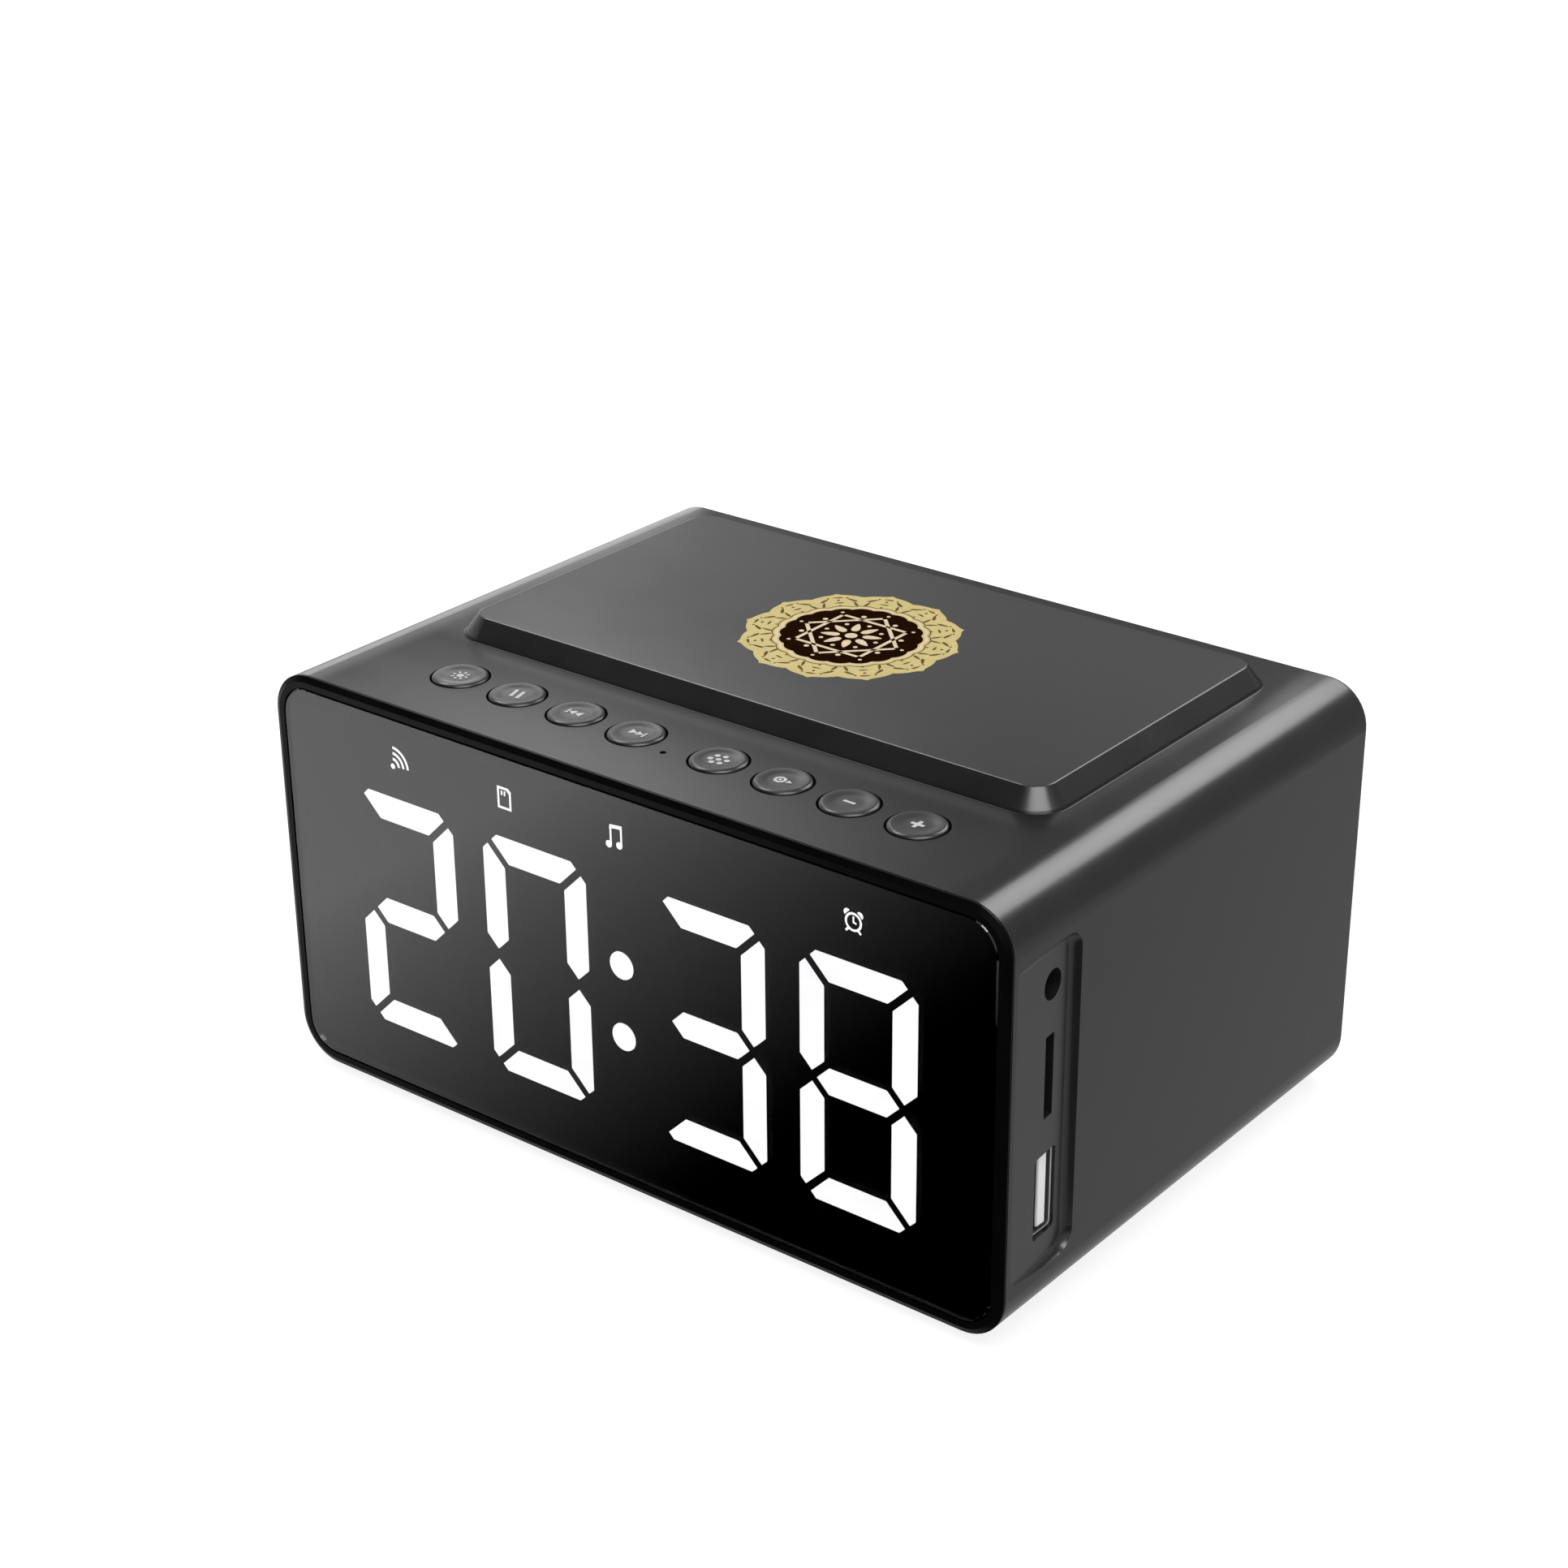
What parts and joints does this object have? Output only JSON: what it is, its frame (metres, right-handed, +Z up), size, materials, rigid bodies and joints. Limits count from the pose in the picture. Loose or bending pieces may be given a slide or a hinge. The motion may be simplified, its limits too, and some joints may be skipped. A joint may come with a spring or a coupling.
{
  "type": "azan clock",
  "caption": "Bedside prayer-time clock with a large lit time display, push buttons, a raised wireless charging platform, side sockets and rear speakers.",
  "frame": {"origin": "on the surface that the feet stand on, at the middle of the clock's box", "axes": "+X to the right of the display, +Y to the back, +Z up; the display faces -Y"},
  "size_m": [0.132, 0.0918, 0.0692],
  "materials": {
    "housing_plastic": "matt black, fine spark-eroded texture",
    "bezel_plastic": "polished black",
    "lens_acrylic": "smoked clear acrylic, polished",
    "adhesive_tape": "black foam tape",
    "diffuser_film": "black printed light mask",
    "reflector_plastic": "black, moulded",
    "lit_segment_resin": "white diffusing resin, lit",
    "dark_segment_resin": "diffusing resin, unlit",
    "circuit_board": "green solder mask",
    "led_package": "white package",
    "chip_black": "moulded epoxy",
    "jack_plastic": "moulded black nylon",
    "plated_steel": "nickel plated",
    "tongue_plastic": "white moulded",
    "coil_wire": "enamelled litz wire",
    "ferrite": "dark grey",
    "inner_plastic": "black, moulded",
    "cell_wrap": "plain blue shrink wrap",
    "grille_cloth": "black woven",
    "feet_rubber": "black rubber",
    "screw_steel": "black oxide",
    "button_plastic": "matt black",
    "plunger_plastic": "moulded nylon",
    "basket_steel": "black paint",
    "magnet": "coated ferrite",
    "cone_paper": "pressed black paper",
    "surround_rubber": "moulded roll"
  },
  "bodies": {
    "clock_body": {"audio_jack": "jack_plastic", "battery_cell": "cell_wrap", "battery_cradle": "inner_plastic", "board_chips": "chip_black", "charger_board": "circuit_board", "charger_chips": "chip_black", "charging_coil": "coil_wire", "coil_ferrite": "ferrite", "coil_tray": "inner_plastic", "diffuser_film": "diffuser_film", "display_board": "circuit_board", "display_header": "jack_plastic", "display_leds": "led_package", "display_lens": "lens_acrylic", "display_reflector": "reflector_plastic", "front_bezel": "bezel_plastic", "grille_cloth": "grille_cloth", "inlet_board": "circuit_board", "inlet_shell": "plated_steel", "inlet_tongue": "jack_plastic", "inner_screws": "screw_steel", "key_board": "circuit_board", "key_switches": "jack_plastic", "left_speaker_basket": "basket_steel", "left_speaker_cone": "cone_paper", "left_speaker_magnet": "magnet", "left_speaker_surround": "surround_rubber", "lens_adhesive": "adhesive_tape", "lit_segments": "lit_segment_resin", "main_board": "circuit_board", "main_housing": "housing_plastic", "memory_card_socket": "plated_steel", "mic_boot": "feet_rubber", "microphone": "plated_steel", "rear_cover": "housing_plastic", "rear_screws": "screw_steel", "right_speaker_basket": "basket_steel", "right_speaker_cone": "cone_paper", "right_speaker_magnet": "magnet", "right_speaker_surround": "surround_rubber", "rubber_feet": "feet_rubber", "unlit_segments": "dark_segment_resin", "usb_socket_shell": "plated_steel", "usb_socket_tongue": "tongue_plastic"},
    "dimmer_key": {"button_dimmer": "button_plastic", "plunger_dimmer": "plunger_plastic"},
    "mode_key": {"button_mode": "button_plastic", "plunger_mode": "plunger_plastic"},
    "previous_key": {"button_previous": "button_plastic", "plunger_previous": "plunger_plastic"},
    "next_key": {"button_next": "button_plastic", "plunger_next": "plunger_plastic"},
    "lamp_key": {"button_lamp": "button_plastic", "plunger_lamp": "plunger_plastic"},
    "set_key": {"button_set": "button_plastic", "plunger_set": "plunger_plastic"},
    "minus_key": {"button_minus": "button_plastic", "plunger_minus": "plunger_plastic"},
    "plus_key": {"button_plus": "button_plastic", "plunger_plus": "plunger_plastic"}
  },
  "joints": [
    {"name": "dimmer_press", "type": "slide", "parent": "clock_body", "child": "dimmer_key", "axis": [0, 0, -1], "range_m": [0, 0.0004], "stiffness_N_per_m": 800},
    {"name": "mode_press", "type": "slide", "parent": "clock_body", "child": "mode_key", "axis": [0, 0, -1], "range_m": [0, 0.0004], "stiffness_N_per_m": 800},
    {"name": "previous_press", "type": "slide", "parent": "clock_body", "child": "previous_key", "axis": [0, 0, -1], "range_m": [0, 0.0004], "stiffness_N_per_m": 800},
    {"name": "next_press", "type": "slide", "parent": "clock_body", "child": "next_key", "axis": [0, 0, -1], "range_m": [0, 0.0004], "stiffness_N_per_m": 800},
    {"name": "lamp_press", "type": "slide", "parent": "clock_body", "child": "lamp_key", "axis": [0, 0, -1], "range_m": [0, 0.0004], "stiffness_N_per_m": 800},
    {"name": "set_press", "type": "slide", "parent": "clock_body", "child": "set_key", "axis": [0, 0, -1], "range_m": [0, 0.0004], "stiffness_N_per_m": 800},
    {"name": "minus_press", "type": "slide", "parent": "clock_body", "child": "minus_key", "axis": [0, 0, -1], "range_m": [0, 0.0004], "stiffness_N_per_m": 800},
    {"name": "plus_press", "type": "slide", "parent": "clock_body", "child": "plus_key", "axis": [0, 0, -1], "range_m": [0, 0.0004], "stiffness_N_per_m": 800}
  ]
}
